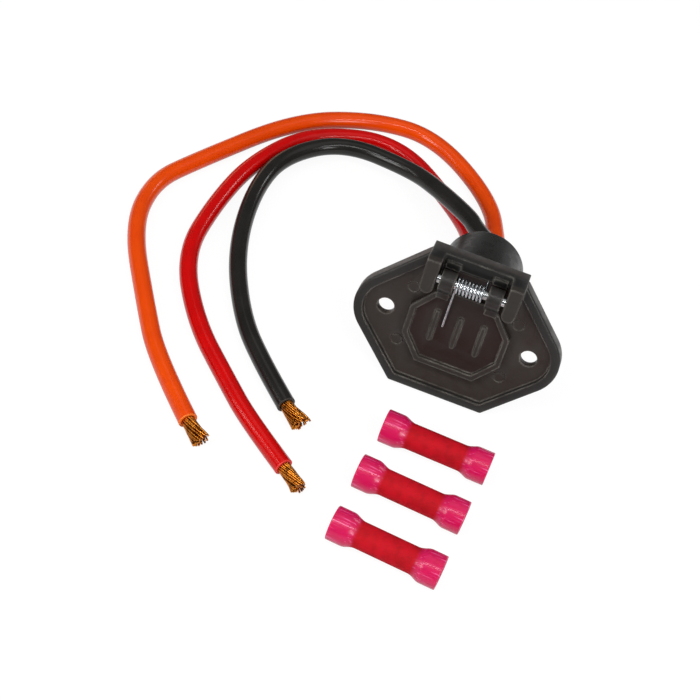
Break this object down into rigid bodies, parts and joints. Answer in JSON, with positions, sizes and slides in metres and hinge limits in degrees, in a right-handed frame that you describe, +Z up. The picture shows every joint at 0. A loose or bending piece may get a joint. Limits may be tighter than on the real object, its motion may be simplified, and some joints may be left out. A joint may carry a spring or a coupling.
{
  "type": "trailer wiring connector",
  "caption": "Flanged trailer socket with a sprung octagonal lid, a barrel, thick colour-coded leads with bared ends, and loose butt splices laid beside it.",
  "frame": {"origin": "middle of the two screw holes, on the flange's mounting face", "axes": "+X along the lid's hinge, +Y back towards the leads, +Z up; the socket leans back on the table it lies on"},
  "size_m": [0.162, 0.2034, 0.0565],
  "materials": {
    "flange_plastic": "satin moulded nylon",
    "barrel_plastic": "glossy moulded plastic",
    "insert_plastic": "moulded insulator",
    "lid_plastic": "satin moulded nylon",
    "black_rubber": "moulded rubber",
    "contact_brass": "turned brass",
    "hinge_steel": "bright zinc plated steel",
    "spring_steel": "bright spring wire",
    "insulation_black": "extruded vinyl",
    "insulation_red": "extruded vinyl",
    "insulation_orange": "extruded vinyl",
    "copper": "bare copper strands",
    "splice_vinyl": "translucent vinyl",
    "ferrule_metal": "tin plated copper"
  },
  "bodies": {
    "receptacle": {"front_flange": "flange_plastic", "rear_barrel": "barrel_plastic", "socket_insert": "insert_plastic", "wire_seal": "black_rubber", "hinge_pin": "hinge_steel", "torsion_spring": "spring_steel", "contact_black": "contact_brass", "lead_black": "insulation_black", "strands_black": "copper", "contact_red": "contact_brass", "lead_red": "insulation_red", "strands_red": "copper", "contact_orange": "contact_brass", "lead_orange": "insulation_orange", "strands_orange": "copper"},
    "lid": {"lid": "lid_plastic", "lid_seal": "black_rubber"},
    "splice_1": {"splice_sleeve_1": "splice_vinyl", "splice_ferrule_1": "ferrule_metal"},
    "splice_2": {"splice_sleeve_2": "splice_vinyl", "splice_ferrule_2": "ferrule_metal"},
    "splice_3": {"splice_sleeve_3": "splice_vinyl", "splice_ferrule_3": "ferrule_metal"}
  },
  "joints": [
    {"name": "lid_hinge", "type": "hinge", "parent": "receptacle", "child": "lid", "pos_m": [0, -0.00447, 0.0231], "axis": [-1, 0, 0], "range_deg": [0, 105], "stiffness_Nm_per_rad": 0.02, "springref_deg": -85.94, "deforming": ["torsion_spring"]},
    {"name": "splice_1_lift", "type": "slide", "parent": "receptacle", "child": "splice_1", "axis": [0, 0, 1], "range_m": [0, 0.012]},
    {"name": "splice_2_lift", "type": "slide", "parent": "receptacle", "child": "splice_2", "axis": [0, 0, 1], "range_m": [0, 0.06]},
    {"name": "splice_3_lift", "type": "slide", "parent": "receptacle", "child": "splice_3", "axis": [0, 0, 1], "range_m": [0, 0.06]}
  ]
}
